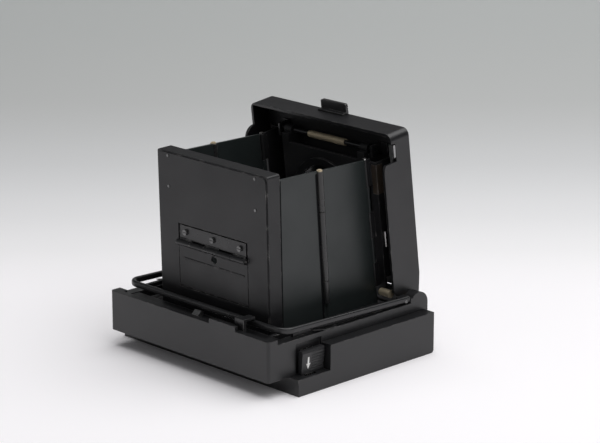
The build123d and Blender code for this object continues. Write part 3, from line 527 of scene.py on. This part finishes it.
def see_through_back(tree, shader):
    """Leaves out the far side of a sheet, so that it never hides the object from behind."""
    geometry = tree.nodes.new("ShaderNodeNewGeometry")
    clear = tree.nodes.new("ShaderNodeBsdfTransparent")
    mix = tree.nodes.new("ShaderNodeMixShader")
    tree.links.new(geometry.outputs["Backfacing"], mix.inputs["Fac"])
    tree.links.new(shader.outputs["BSDF"], mix.inputs[1])
    tree.links.new(clear.outputs["BSDF"], mix.inputs[2])
    output = next(node for node in tree.nodes if node.type == "OUTPUT_MATERIAL")
    tree.links.new(mix.outputs["Shader"], output.inputs["Surface"])


def make_floor():
    """A pale sheet that curves up behind the object, with painted shade that makes it greyer with
    distance.
    """
    away = -CAMERA_BACK.copy()
    away.z = 0.0
    away.normalize()
    across = Vector((-away.y, away.x, 0.0))
    material, tree, shader = new_material("backdrop")
    coords = tree.nodes.new("ShaderNodeTexCoord")
    along = tree.nodes.new("ShaderNodeVectorMath")
    along.operation = "DOT_PRODUCT"
    along.inputs[1].default_value = away
    tree.links.new(coords.outputs["Object"], along.inputs[0])
    ramp = tree.nodes.new("ShaderNodeValToRGB")
    ramp.color_ramp.interpolation = "B_SPLINE"
    stops = ramp.color_ramp.elements
    while len(stops) < len(SHEET_SHADE_TONES):
        stops.new(0.5)
    for stop, (place, colour) in zip(stops, SHEET_SHADE_TONES):
        stop.position = place
        stop.color = (*colour, 1.0)
    # the ramp paints shade onto the sheet, greyer with distance behind the object
    tree.links.new(remap(tree, along.outputs["Value"], 0.0, SHEET_FADE, 0.0, 1.0), ramp.inputs["Fac"])
    tree.links.new(ramp.outputs["Color"], shader.inputs["Base Color"])
    shader.inputs["Roughness"].default_value = 0.75
    shader.inputs["Specular IOR Level"].default_value = 0.2
    see_through_back(tree, shader)
    near, bend, radius, top, half, steps = -2.0, 0.12, 0.45, 1.8, 2.0, 12
    profile = [(near, 0.0), (bend, 0.0)]
    for step in range(1, steps + 1):
        turn = math.radians(90 * step / steps)
        profile.append((bend + radius * math.sin(turn), radius * (1 - math.cos(turn))))
    profile.append((bend + radius, top))
    mesh = bpy.data.meshes.new("floor")
    points, faces = [], []
    for distance, height in profile:
        for side in (-half, half):
            points.append(away * distance + across * side + Vector((0, 0, height)))
    for n in range(len(profile) - 1):
        faces.append((2 * n, 2 * n + 2, 2 * n + 3, 2 * n + 1))
    mesh.from_pydata(points, [], faces)
    mesh.update()
    for face in mesh.polygons:
        face.use_smooth = True
    floor = bpy.data.objects.new("floor", mesh)
    floor.data.materials.append(material)
    bpy.context.scene.collection.objects.link(floor)


def area_light(name, at, target, size, power):
    """A rectangular soft light at a place, turned towards a target."""
    data = bpy.data.lights.new(name, "AREA")
    data.shape = "RECTANGLE"
    data.size, data.size_y = size
    data.energy = power
    light = bpy.data.objects.new(name, data)
    light.location = at
    light.rotation_euler = (Vector(at) - Vector(target)).to_track_quat("Z", "Y").to_euler()
    bpy.context.scene.collection.objects.link(light)


def make_lights():
    middle = (0, 0, 0.04)
    area_light("overhead", (0.12, 0.22, 0.95), middle, (1.5, 1.3), 15.2)
    area_light("front_right", (0.75, -0.15, 0.42), middle, (0.6, 0.7), 0.8)
    area_light("front_left", (-0.35, -0.85, 0.40), middle, (0.8, 0.6), 0.7)
    world = bpy.data.worlds.new("studio")
    bpy.context.scene.world = world
    world.use_nodes = True
    background = world.node_tree.nodes["Background"]
    background.inputs["Color"].default_value = (0.95, 0.97, 1.0, 1.0)
    background.inputs["Strength"].default_value = 0.12


# ---- build --------------------------------------------------------------------------
bpy.context.scene.view_settings.view_transform = "Standard"
make_camera()
materials = make_materials()
dress_nodes(materials)
wound_spring(materials)
bail_leaf_springs(materials)
for side_name, side in SIDES:
    frame_details(side_name, side, materials)
    hinge_sleeves(side_name, side, materials)
    painted_shadow_strips(side_name, side, materials)
make_floor()
make_lights()
